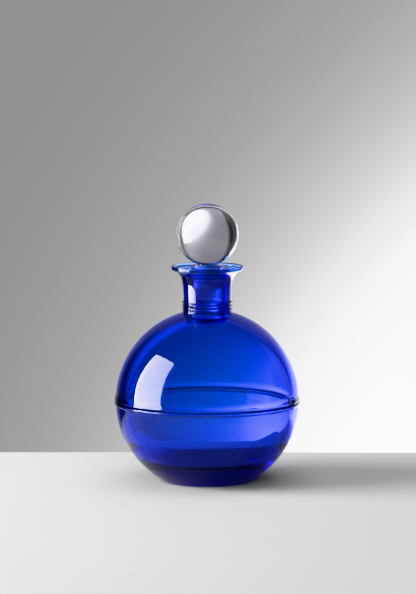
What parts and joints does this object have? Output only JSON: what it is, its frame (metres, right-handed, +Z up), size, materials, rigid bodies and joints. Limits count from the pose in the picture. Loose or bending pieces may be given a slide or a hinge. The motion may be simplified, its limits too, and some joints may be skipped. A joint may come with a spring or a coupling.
{
  "type": "stoppered perfume flacon",
  "caption": "Round transparent perfume flacon: a sphere of glued halves on a flat foot, a ribbed flared neck, and a clear ball stopper that lifts out.",
  "frame": {"origin": "centre of the flat foot, on the surface the flacon stands on", "axes": "+Z up along the axis that the sphere, the neck and the stopper share; +X and +Y are free, because every piece is round"},
  "size_m": [0.0912, 0.0912, 0.1362],
  "materials": {
    "cobalt_acrylic": "transparent cobalt blue, polished",
    "clear_acrylic": "water clear, polished",
    "clear_silicone": "translucent, satin"
  },
  "bodies": {
    "bottle": {"lower_bowl": "cobalt_acrylic", "upper_dome": "cobalt_acrylic", "neck_collar": "cobalt_acrylic"},
    "seal": {"stopper_seal": "clear_silicone"},
    "stopper": {"stopper_ball": "clear_acrylic", "stopper_plug": "clear_acrylic"}
  },
  "joints": [
    {"name": "stopper_lift", "type": "slide", "parent": "bottle", "child": "seal", "axis": [0, 0, 1], "range_m": [0, 0.03]},
    {"name": "stopper_turn", "type": "hinge", "parent": "seal", "child": "stopper", "pos_m": [0, 0, 0.1], "axis": [0, 0, 1], "continuous": true}
  ]
}
